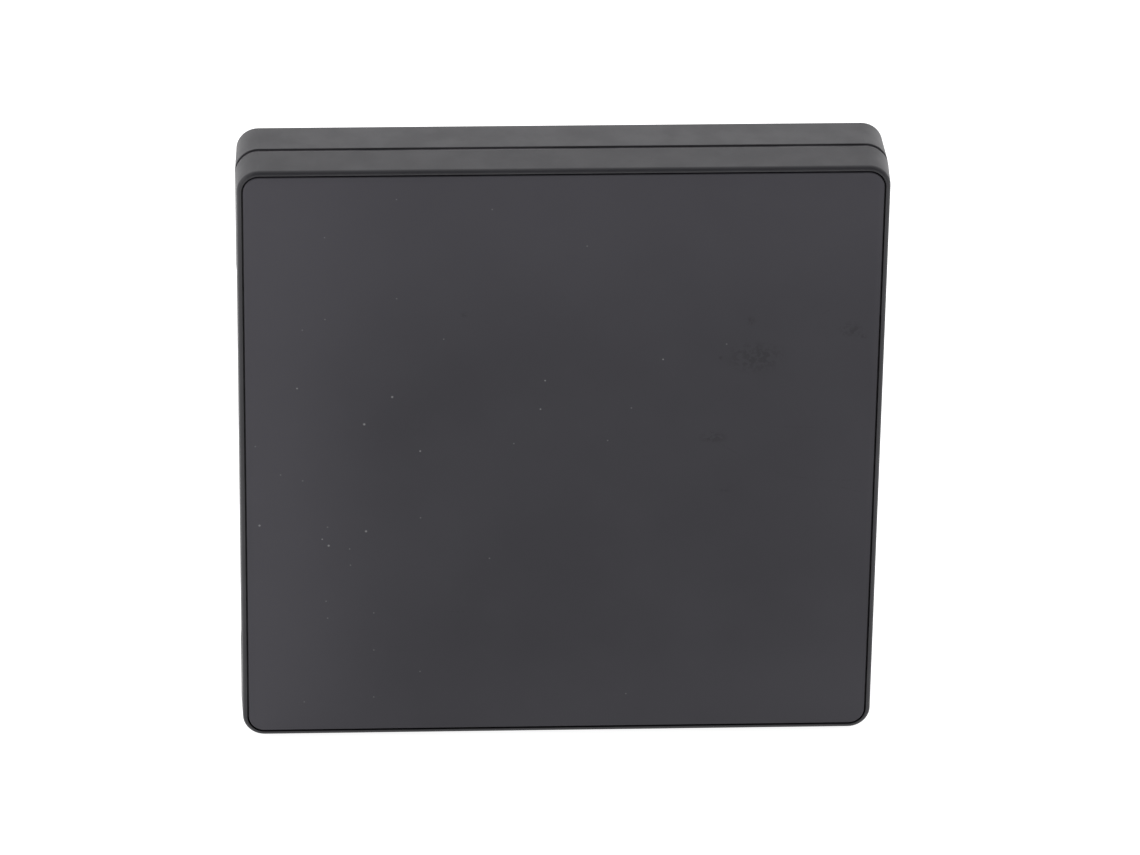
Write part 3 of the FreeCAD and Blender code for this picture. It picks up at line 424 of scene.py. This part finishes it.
for i in range(LEGS_A_SIDE):
    offset = (i - (LEGS_A_SIDE - 1) / 2) * LEG_PITCH
    for dx, dz, size_x, size_z in ((offset, reach, LEG_WIDE, LEG_LONG), (offset, -reach, LEG_WIDE, LEG_LONG),
                                   (reach, offset, LEG_LONG, LEG_WIDE), (-reach, offset, LEG_LONG, LEG_WIDE)):
        at = Vector((chip_middle.x + dx, BOARD_FACE + LEG_TALL / 2, chip_middle.z + dz))
        half = Vector((size_x, LEG_TALL, size_z)) / 2
        slab_between(legs, at - half, at + half)
tin_finish = worked_metal("tinned_sheet", (0.58, 0.58, 0.57), (0.70, 0.70, 0.69), (0.24, 0.40), 0.005,
                          (1, 1, 0.05))
as_piece(legs, "chip_legs", tin_finish, "tinned_sheet")
dots = bmesh.new()
for chip in ("processor_chip", "radio_chip_5g", "radio_chip_2g", "ethernet_chip"):
    low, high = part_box(chip)
    at = Vector((low.x + 3 * DOT_R, high.y + DOT_THICK / 2, high.z - 3 * DOT_R))
    upright = Matrix.Translation(at) @ Matrix.Rotation(math.radians(90), 4, "X")
    bmesh.ops.create_cone(dots, cap_ends=True, segments=20, radius1=DOT_R, radius2=DOT_R, depth=DOT_THICK,
                          matrix=upright)
dot_finish = moulded_plastic("chip_dot_grey", (0.05, 0.05, 0.05), (0.08, 0.08, 0.08), (0.5, 0.6))
as_piece(dots, "chip_dots", dot_finish, "chip_mould")
potting_finish = moulded_plastic("potting", (0.016, 0.015, 0.015), (0.028, 0.027, 0.026), (0.35, 0.5),
                                 patch=0.004)
paint(potting_finish, "lan_transformers")
ferrite_finish = moulded_plastic("ferrite", (0.050, 0.049, 0.048), (0.075, 0.073, 0.070), (0.45, 0.62),
                                 patch=0.002, grain=0.00015, depth=0.00002)
paint(ferrite_finish, "power_inductors")
# a capacitor is a bare can on a square base of black plastic
can_finish = worked_metal("can_aluminium", (0.52, 0.52, 0.53), (0.62, 0.62, 0.63), (0.26, 0.38), 0.002,
                          (1, 0.08, 1))
can_tree, can_shader, can_place = insides(can_finish)
base_top = BOARD_FACE + CAN_BASE
above_board = split_axes(can_tree, can_place)[1]
bare = between(can_tree, above_board, 0.0, 1.0, base_top - CAN_SEAM, base_top)
can_tone = blend_colours(can_tree, bare, CAN_BASE_BLACK, tone_of(can_shader))
can_tree.links.new(can_tone, can_shader.inputs["Base Color"])
can_tree.links.new(bare, can_shader.inputs["Metallic"])
paint(can_finish, "bulk_capacitors")
crystal_finish = worked_metal("crystal_nickel", (0.56, 0.55, 0.52), (0.66, 0.65, 0.62), (0.22, 0.34), 0.002)
paint(crystal_finish, "crystals")
ceramic_finish = moulded_plastic("chip_ceramic", (0.20, 0.14, 0.09), (0.38, 0.30, 0.21), (0.35, 0.5),
                                 patch=0.0016, grain=0.0001)
paint(ceramic_finish, "chip_resistors")


# ---- Cans, pads and heat sink -------------------------------------------------------------------------
# Tinned sheet frames are soldered round the chips and closed with pressed lids.  Soft grey pads carry the
# heat up to a cast plate with upright fins, held down by four push pins.
paint(tin_finish, "shield_frame_processor", "shield_frame_radio_5g", "shield_frame_radio_2g",
      "shield_lid_processor", "shield_lid_radio_5g", "shield_lid_radio_2g")
pad_finish = moulded_plastic("heat_pad", (0.20, 0.23, 0.27), (0.27, 0.30, 0.34), (0.7, 0.85), patch=0.004,
                             grain=0.0003, depth=0.00003)
paint(pad_finish, "chip_pads", "lid_pads")
sink_finish = worked_metal("cast_sink", (0.42, 0.43, 0.44), (0.56, 0.57, 0.58), (0.38, 0.55), 0.006,
                           depth=0.00001)
paint(sink_finish, "heatsink")
pin_finish = moulded_plastic("pin_nylon", (0.016, 0.016, 0.016), (0.024, 0.024, 0.024), (0.38, 0.5),
                             patch=0.003)
paint(pin_finish, "heatsink_pins")


# ---- Sockets ------------------------------------------------------------------------------------------
# Two network sockets, each a black moulded insert in a folded tinned cover with eight gold-plated wires,
# and the barrel inlet for the power plug with its nickel pin and leaf spring.
# the moulding's outer edges are painted paler, as a painted highlight
socket_finish = moulded_plastic("socket_moulding", (0.011, 0.011, 0.012), (0.017, 0.017, 0.018), (0.34, 0.46),
                                patch=0.005, grain=0.00012, depth=0.000008, rub_and_highlight=(0.05, 0.05, 0.05))
paint(socket_finish, "wan_jack_body", "lan_jack_body", "dc_jack_body", "pair_switch_body",
      "reset_switch_body")
paint(tin_finish, "wan_jack_shield", "lan_jack_shield")
paint(gold_finish, "wan_jack_contacts", "lan_jack_contacts")
nickel_finish = worked_metal("bright_nickel", (0.62, 0.60, 0.56), (0.72, 0.70, 0.66), (0.14, 0.26), 0.0015,
                             (0.1, 1, 1))
paint(nickel_finish, "dc_jack_pin", "dc_jack_spring")


# ---- Lamp and light pipe ------------------------------------------------------------------------------
# A white lamp package on the board, and a clear moulded pipe that bends its light out to the panel.
# The pipe is slightly milky, as an injection-moulded one is.
PIPE_DARK = (0.78, 0.80, 0.82)
PIPE_LIGHT = (0.90, 0.91, 0.92)
MILK_PATCH = 1.2 * MM
PIPE_GLOSS_PATCH = 0.8 * MM
PIPE_ROUGH = (0.16, 0.30)
PIPE_CLEAR = 0.55
ACRYLIC_IOR = 1.49
lamp_finish = moulded_plastic("lamp_package", (0.62, 0.60, 0.50), (0.78, 0.76, 0.66), (0.3, 0.4),
                              patch=0.0006)
paint(lamp_finish, "status_led")
pipe_finish = new_finish("clear_pipe")
pipe_tree, pipe_shader, pipe_place = insides(pipe_finish)
milk = clouded_colour(pipe_tree, pipe_place, MILK_PATCH, PIPE_DARK, PIPE_LIGHT, 3.0)
pipe_tree.links.new(milk, pipe_shader.inputs["Base Color"])
pipe_gloss = between(pipe_tree, cloudy(pipe_tree, pipe_place, PIPE_GLOSS_PATCH, 3.0), *PIPE_ROUGH)
pipe_tree.links.new(pipe_gloss, pipe_shader.inputs["Roughness"])
pipe_shader.inputs["Transmission Weight"].default_value = PIPE_CLEAR
pipe_shader.inputs["IOR"].default_value = ACRYLIC_IOR
paint(pipe_finish, "light_pipe")


# ---- Buttons and switches -----------------------------------------------------------------------------
# The pairing button is a smooth grey oval cap behind the panel; it presses the natural nylon plunger of a
# tact switch.  A second plunger waits behind the reset pinhole.
# the cap's outer edges are painted paler, as a painted highlight
button_finish = moulded_plastic("button_grey", (0.052, 0.051, 0.055), (0.062, 0.061, 0.066), (0.30, 0.38),
                                patch=0.006, grain=0.00015, depth=0.000005, rub_and_highlight=(0.10, 0.10, 0.10))
paint(button_finish, "pair_button")
nylon_finish = moulded_plastic("natural_nylon", (0.42, 0.41, 0.37), (0.52, 0.51, 0.46), (0.4, 0.5),
                               patch=0.002)
paint(nylon_finish, "pair_switch_plunger", "reset_switch_plunger")


# ---- Port panel ---------------------------------------------------------------------------------------
# A near-black plate with a fine spark-eroded texture.  Its flange is trapped behind the side walls of the
# two shells when they close.
# the plate's outer edges are painted paler, as a painted highlight
panel_finish = moulded_plastic("panel_black", (0.0115, 0.0115, 0.0125), (0.0165, 0.0165, 0.0175),
                               (0.46, 0.58), patch=0.010, grain=0.00018, depth=0.000022,
                               rub_and_highlight=(0.040, 0.040, 0.042))
paint(panel_finish, "port_panel")


# ---- Cover plate --------------------------------------------------------------------------------------
# A flat moulded plate, 1.5 mm thick, with rounded corners and an eased front edge, stuck into the front
# shell's lip.  It carries the dust, dark rubs and hairline scratches of handling.
cover_low, cover_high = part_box("cover_plate")
COVER_CORNER = 3.0 * MM
COVER_EASE = 0.2 * MM
COVER_SHINE = 0.32
COVER_TINT = (0.955, 0.945, 1.0, 1.0)
# painted light on the plate's edges: the paler tone laid towards them
PAINTED_EDGE_LIGHT_TONE = (0.052, 0.050, 0.058)
DUST_TONE = (0.20, 0.20, 0.20)
DUST_A_METRE = 230.0
DUST_LOT_LEFT, DUST_LOT_MIDDLE = 0.90, 0.985    # a cell holds a speck if its lot is above this
SPECK_IN, SPECK_OUT = 0.015, 0.045
SPECK_STRENGTH = 0.45
LINT_STRENGTH = 0.9
RUB_TONE = (0.002, 0.002, 0.0025)
RUB_DARKENS = 0.45
RUB_FADES_OVER = 1.6
TORN_PATCH = 1.2 * MM
SCRATCH_TONE = (0.004, 0.004, 0.005)
SCRATCH_WIDE = 0.16 * MM
# single bits of lint: place (x, z) from the plate's middle and width, in mm
LINT = [(-31.4, 13.1, 0.5), (-36.6, 7.4, 0.55), (-26.2, 1.6, 0.4), (-56.2, -13.9, 0.5), (-36.3, -15.4, 0.5),
        (-43.3, -18.4, 0.5), (-49.0, 15.1, 0.4), (-3.9, 10.2, 0.35), (-3.1, 16.2, 0.35), (18.7, 20.4, 0.35),
        (-44.5, -17.0, 0.35)]
# dark rubs: place (x, z), width in mm and how much each is drawn out sideways
RUBS = [(34.8, 28.2, 1.2, 1.0), (53.4, 26.2, 2.2, 1.3), (35.8, 20.7, 4.5, 1.6), (28.3, 3.9, 1.8, 2.0),
        (-18.1, 30.2, 0.9, 1.0), (55.8, 24.7, 0.8, 1.0), (30.7, -7.7, 0.9, 1.4), (29.4, 20.6, 0.6, 1.0)]
# hairline scratches: place (x, z), length in mm and how many degrees each dips to the right
SCRATCHES = [(32.3, 0.7, 12.0, 35.0), (39.3, -3.3, 9.5, 22.0), (46.3, -5.1, 10.0, 8.0),
             (53.6, -5.6, 10.0, 0.0), (54.4, -7.6, 8.5, 16.0), (44.0, 5.8, 16.0, 2.0),
             (50.0, 31.0, 9.0, -38.0), (-20.0, -33.0, 18.0, 1.0)]


def edges_where(bm, wanted):
    """The edges whose two ends pass a test."""
    return [e for e in bm.edges if wanted(e.verts[0].co, e.verts[1].co)]


def along(axis):
    """A test for edges parallel to an axis, given as 0, 1 or 2."""
    others = [i for i in range(3) if i != axis]
    return lambda a, b: all(abs(a[i] - b[i]) < 1e-7 for i in others)


def on_plane(axis, at):
    """A test for edges that lie on the plane where one coordinate is at."""
    return lambda a, b: abs(a[axis] - at) < 1e-7 and abs(b[axis] - at) < 1e-7


def round_edges(bm, edges, radius, segments):
    """Rounds edges off to a radius."""
    bmesh.ops.bevel(bm, geom=edges, offset=radius, offset_type="OFFSET", affect="EDGES", segments=segments,
                    profile=0.5, material=-1)


def distance_from(x, z, scale, dip=0.0):
    """How far the plate's points are from (x, z), along axes that dip to the right and are scaled."""
    mapping = add_node(cover_tree, "Mapping", vector_type="TEXTURE", Scale=scale,
                       Location=(x * MM, cover_low.y, z * MM + MIDDLE_Z), Rotation=(0, math.radians(dip), 0))
    cover_tree.links.new(cover_place, mapping.inputs["Vector"])
    gap = add_node(cover_tree, "VectorMath", operation="LENGTH")
    cover_tree.links.new(mapping.outputs["Vector"], gap.inputs[0])
    return gap.outputs["Value"]


def spot(x, z, across, drawn=1.0):
    """A soft-edged spot on the plate: one at its middle, nought outside it."""
    return between(cover_tree, distance_from(x, z, (drawn, 1.0, 1.0)), 1.0, 0.0, 0.15 * across * MM,
                   0.6 * across * MM)


def marked(mask, strength, tone):
    """The plate's colour so far, with a tone laid over it where the mask is one."""
    overlay_share = combine(cover_tree, "MULTIPLY", mask, strength)
    return blend_colours(cover_tree, overlay_share, cover_tone, tone)


cover = bmesh.new()
slab_between(cover, cover_low, cover_high)
round_edges(cover, edges_where(cover, along(1)), COVER_CORNER, 14)
round_edges(cover, edges_where(cover, on_plane(1, cover_low.y)), COVER_EASE, 4)
cover_finish = moulded_plastic("soft_touch_cover", (0.0174, 0.0166, 0.0206), (0.0220, 0.0212, 0.0256),
                               (0.42, 0.46), patch=0.03, depth=0.000006)
cover_tree, cover_shader, cover_place = insides(cover_finish)
cover_shader.inputs["Specular IOR Level"].default_value = COVER_SHINE
cover_shader.inputs["Specular Tint"].default_value = COVER_TINT
cover_tone = tone_of(cover_shader)
sideways, _, height = split_axes(cover_tree, cover_place)
upwards = combine(cover_tree, "SUBTRACT", height, MIDDLE_Z)
# painted light: the coat is painted paler towards its left and top edges, and a little towards the bottom
# and right, where more light falls on it: which way, where it begins and ends, and how strongly
for way, begin, end, strength in ((sideways, -0.024, -0.0585, 0.53), (upwards, 0.012, 0.0585, 0.43),
                                  (upwards, -0.034, -0.0585, 0.20), (sideways, 0.030, 0.0585, 0.09)):
    overlay_share = between(cover_tree, way, 0.0, strength, begin, end)
    cover_tone = blend_colours(cover_tree, overlay_share, cover_tone, PAINTED_EDGE_LIGHT_TONE)
# a scatter of the finest dust: the middles of a few random cells, more of them to the left
flat = add_node(cover_tree, "CombineXYZ")
cover_tree.links.new(sideways, flat.inputs["X"])
cover_tree.links.new(upwards, flat.inputs["Y"])
cells = add_node(cover_tree, "TexVoronoi", voronoi_dimensions="2D", Scale=DUST_A_METRE)
cover_tree.links.new(flat.outputs["Vector"], cells.inputs["Vector"])
lot = add_node(cover_tree, "SeparateColor")
cover_tree.links.new(cells.outputs["Color"], lot.inputs["Color"])
chosen = combine(cover_tree, "GREATER_THAN", lot.outputs["Red"],
                 between(cover_tree, sideways, DUST_LOT_LEFT, DUST_LOT_MIDDLE, -0.060, 0.0))
speck = between(cover_tree, cells.outputs["Distance"], SPECK_STRENGTH, 0.0, SPECK_IN, SPECK_OUT)
cover_tone = marked(chosen, speck, DUST_TONE)
for x, z, across in LINT:
    cover_tone = marked(spot(x, z, across), LINT_STRENGTH, DUST_TONE)
torn = between(cover_tree, cloudy(cover_tree, cover_place, TORN_PATCH, 5.0, 0.7), 0.0, 1.0, 0.44, 0.56)
for x, z, across, drawn in RUBS:
    rub_and_highlight = combine(cover_tree, "MULTIPLY", spot(x, z, across * RUB_FADES_OVER, drawn), torn)
    cover_tone = marked(rub_and_highlight, RUB_DARKENS, RUB_TONE)
for x, z, length, dip in SCRATCHES:
    aside = distance_from(x, z, (length * MM, 1.0, SCRATCH_WIDE), dip)
    cover_tone = marked(between(cover_tree, aside, 0.55, 0.0, 0.1, 0.5), torn, SCRATCH_TONE)
cover_tree.links.new(cover_tone, cover_shader.inputs["Base Color"])
as_piece(cover, "cover_plate_face", cover_finish, "cover_plastic", "cover_plate")
tape_finish = moulded_plastic("foam_tape", (0.60, 0.59, 0.55), (0.72, 0.71, 0.67), (0.8, 0.9), patch=0.003,
                              grain=0.0003, depth=0.00003)
paint(tape_finish, "cover_adhesive")


# ---- Label and feet -----------------------------------------------------------------------------------
# A blank grey film label lies in its shallow recess in the back.  Two black rubber feet, with ribs moulded
# across their undersides, are stuck in recesses in the lower edge and stand 0.8 mm below it.
LABEL_CORNER = 1.6 * MM
LABEL_EASE = 0.05 * MM
FOOT_INNER = 24.0 * MM
FOOT_OUTER = 52.0 * MM
FOOT_CORNER = 3.0 * MM
RIB_PITCH = 1.4 * MM
RIB_SHARE = 0.55            # how much of the pitch a rib takes up; the rest is groove
RIB_DEEP = 0.25 * MM
RIB_SLOPE = 0.12 * MM
RIB_CLEAR = 0.2 * MM
SAME_POINT = 0.002 * MM
label_low, label_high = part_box("rating_label")
label = bmesh.new()
slab_between(label, label_low, label_high)
round_edges(label, edges_where(label, along(1)), LABEL_CORNER, 8)
round_edges(label, edges_where(label, on_plane(1, label_high.y)), LABEL_EASE, 2)
label_finish = moulded_plastic("label_film", (0.082, 0.082, 0.086), (0.094, 0.094, 0.098), (0.26, 0.34),
                               patch=0.012, grain=0.0004, depth=0.000003)
as_piece(label, "label_film_piece", label_finish, "label_film", "rating_label")
feet = bmesh.new()
foot_low, foot_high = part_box("base_feet")
for left, right in ((-FOOT_OUTER, -FOOT_INNER), (FOOT_INNER, FOOT_OUTER)):
    foot = bmesh.new()
    low = Vector((left, foot_low.y, foot_low.z))
    high = Vector((right, foot_high.y, foot_high.z))
    slab_between(foot, low, high)
    round_edges(foot, edges_where(foot, along(2)), FOOT_CORNER, 8)
    first_rib = low.x + FOOT_CORNER
    last_rib = high.x - FOOT_CORNER
    for k in range(int((last_rib - first_rib) / RIB_PITCH) + 1):
        for rib_side in (0.0, RIB_SHARE):
            everything = foot.verts[:] + foot.edges[:] + foot.faces[:]
            cut_x = first_rib + (k + rib_side) * RIB_PITCH
            bmesh.ops.bisect_plane(foot, geom=everything, plane_co=(cut_x, 0, 0), plane_no=(1, 0, 0))
    bmesh.ops.remove_doubles(foot, verts=foot.verts[:], dist=SAME_POINT)
    grooves = []
    for f in foot.faces:
        middle_x = f.calc_center_median().x
        in_reach = first_rib + RIB_CLEAR < middle_x < last_rib - RIB_CLEAR
        if f.normal.z < -0.9 and in_reach and (middle_x - first_rib) / RIB_PITCH % 1.0 > RIB_SHARE:
            grooves.append(f)
    bmesh.ops.inset_individual(foot, faces=grooves, thickness=RIB_SLOPE, depth=-RIB_DEEP)
    foot_mesh = bpy.data.meshes.new("one_foot")
    foot.to_mesh(foot_mesh)
    foot.free()
    feet.from_mesh(foot_mesh)
    bpy.data.meshes.remove(foot_mesh)
foot_finish = moulded_plastic("foot_rubber", (0.013, 0.013, 0.013), (0.022, 0.022, 0.022), (0.62, 0.8),
                              patch=0.004, grain=0.0002, depth=0.00002)
as_piece(feet, "ribbed_feet", foot_finish, "foot_rubber", "base_feet")


# ---- Table, light and camera --------------------------------------------------------------------------
# A white table in a white tent: bright behind and overhead, falling off to the darker room behind the
# camera, with one soft lamp to the left.  The camera stands back with a long lens.
CASE_WIDE = 0.120
CASE_MIDDLE = Vector((0, 0, MIDDLE_Z))
TABLE_HALF = 6.0
TABLE_PATCH = 0.4
TABLE_PAINT = ((0.50, 0.50, 0.50), (0.53, 0.53, 0.53))
TABLE_LIGHT = ((0.98, 0.98, 0.98), (1.0, 1.0, 1.0))
TABLE_GLOW = 0.92
TABLE_ROUGH = 0.9
TABLE_SHINE = 0.2
TENT_BRIGHT = (1.54, 1.53, 1.55)
ROOM_DIM = (0.20, 0.20, 0.21)
ROOM_ENDS, TENT_BEGINS = -0.75, 0.55    # how far back a direction points
LAMP_AT = Vector((-1.3, -0.7, 0.55))
LAMP_AIMED_AT = Vector((0, 0, 0.05))
LAMP_WIDE = 0.9
LAMP_WATTS = 6
# how far the camera is, how high, how much to the left, its small roll, and how far the case is off its axis
CAMERA_FAR = 10.408 * CASE_WIDE
CAMERA_UP = math.radians(28.61)
CAMERA_LEFT = math.radians(3.08)
CAMERA_ROLL = math.radians(0.84)
OFF_AXIS = (-0.018 * CASE_WIDE, -0.008 * CASE_WIDE)
LENS_LONG = 210.3
FILM_WIDE = 36.0

table_bm = bmesh.new()
bmesh.ops.create_grid(table_bm, x_segments=1, y_segments=1, size=TABLE_HALF)
table_mesh = bpy.data.meshes.new("table_top")
table_bm.to_mesh(table_mesh)
table_bm.free()
table_top = bpy.data.objects.new("table_top", table_mesh)
bpy.context.scene.collection.objects.link(table_top)
table_finish = new_finish("white_table")
table_tree, table_shader, table_place = insides(table_finish)
clouds = between(table_tree, cloudy(table_tree, table_place, TABLE_PATCH), 0, 1)
painted = blend_colours(table_tree, clouds, *TABLE_PAINT)
glowing = blend_colours(table_tree, clouds, *TABLE_LIGHT)
table_tree.links.new(painted, table_shader.inputs["Base Color"])
table_tree.links.new(glowing, table_shader.inputs["Emission Color"])
table_shader.inputs["Emission Strength"].default_value = TABLE_GLOW
table_shader.inputs["Roughness"].default_value = TABLE_ROUGH
table_shader.inputs["Specular IOR Level"].default_value = TABLE_SHINE
table_mesh.materials.append(table_finish)

world = bpy.data.worlds.new("studio")
bpy.context.scene.world = world
world.use_nodes = True
air = world.node_tree
gaze = air.nodes.new("ShaderNodeTexCoord").outputs["Generated"]
behind = between(air, split_axes(air, gaze)[1], 0.0, 1.0, ROOM_ENDS, TENT_BEGINS)
air.links.new(blend_colours(air, behind, ROOM_DIM, TENT_BRIGHT), air.nodes["Background"].inputs["Color"])

lamp = bpy.data.lights.new("tent_left", "AREA")
lamp.shape = "RECTANGLE"
lamp.size = LAMP_WIDE
lamp.size_y = LAMP_WIDE
lamp.energy = LAMP_WATTS
left_lamp = bpy.data.objects.new("tent_left", lamp)
bpy.context.scene.collection.objects.link(left_lamp)
left_lamp.location = LAMP_AT
left_lamp.rotation_euler = (LAMP_AIMED_AT - LAMP_AT).to_track_quat("-Z", "Y").to_euler()

bpy.context.scene.view_settings.view_transform = "Standard"
bpy.context.scene.view_settings.look = "None"

level = Vector((1, 0, 0))
upward = Vector((0, math.sin(CAMERA_UP), math.cos(CAMERA_UP)))
ahead = Vector((0, math.cos(CAMERA_UP), -math.sin(CAMERA_UP)))
rightward = math.cos(CAMERA_ROLL) * level + math.sin(CAMERA_ROLL) * upward
topward = math.cos(CAMERA_ROLL) * upward - math.sin(CAMERA_ROLL) * level
stand = -OFF_AXIS[0] * rightward - OFF_AXIS[1] * topward - CAMERA_FAR * ahead
turn = Matrix.Rotation(-CAMERA_LEFT, 3, "Z")
axes = Matrix((turn @ rightward, turn @ topward, -(turn @ ahead))).transposed()
lens = bpy.data.cameras.new("studio_camera")
lens.sensor_width = FILM_WIDE
lens.lens = LENS_LONG
lens.clip_start = 0.05
camera = bpy.data.objects.new("studio_camera", lens)
bpy.context.scene.collection.objects.link(camera)
camera.matrix_world = Matrix.Translation(turn @ stand + CASE_MIDDLE) @ axes.to_4x4()
bpy.context.scene.camera = camera
